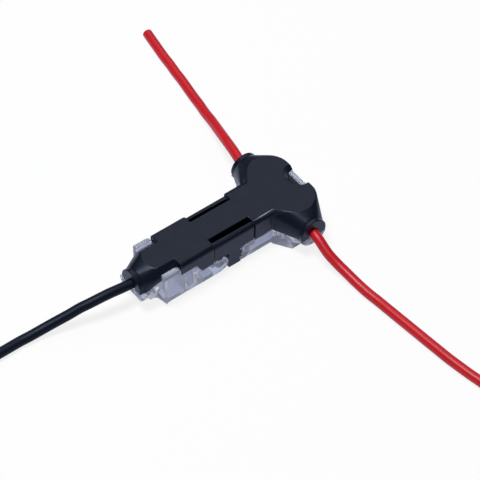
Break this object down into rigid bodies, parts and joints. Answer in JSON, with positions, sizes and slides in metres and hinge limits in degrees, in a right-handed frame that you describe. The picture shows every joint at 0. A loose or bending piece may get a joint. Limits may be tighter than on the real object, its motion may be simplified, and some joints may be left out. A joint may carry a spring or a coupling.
{
  "type": "t-tap connector",
  "caption": "T-shaped wire tap: black housing over a slotted contact strip, clear hinged lids beneath, with a through wire and a branch wire.",
  "frame": {"origin": "on the surface the connector rests on, under the middle of the box around the connector without its free leads", "axes": "+X along the stem from the tap wire's nozzle to the head, +Y along the through wire, +Z from the lids up to the flat top"},
  "size_m": [0.0766, 0.1072, 0.0078],
  "materials": {
    "black_moulding": "satin",
    "clear_moulding": "gloss",
    "tinned_metal": "satin",
    "red_insulation": "satin",
    "black_insulation": "satin",
    "copper_core": "satin"
  },
  "bodies": {
    "housing": {"housing": "black_moulding", "contact_strip": "tinned_metal", "run_insulation": "red_insulation", "run_core": "copper_core", "tap_insulation": "black_insulation", "tap_core": "copper_core", "run_lead_left": "red_insulation", "run_lead_right": "red_insulation", "tap_lead": "black_insulation"},
    "tap_lid": {"tap_lid": "clear_moulding"},
    "run_lid": {"run_lid": "clear_moulding"}
  },
  "joints": [
    {"name": "tap_lid_hinge", "type": "hinge", "parent": "housing", "child": "tap_lid", "pos_m": [-0.0022, 0, 0.0021], "axis": [0, -1, 0], "range_deg": [0, 70]},
    {"name": "run_lid_hinge", "type": "hinge", "parent": "housing", "child": "run_lid", "pos_m": [0.003, 0, 0.00105], "axis": [0, 1, 0], "range_deg": [0, 75]}
  ]
}
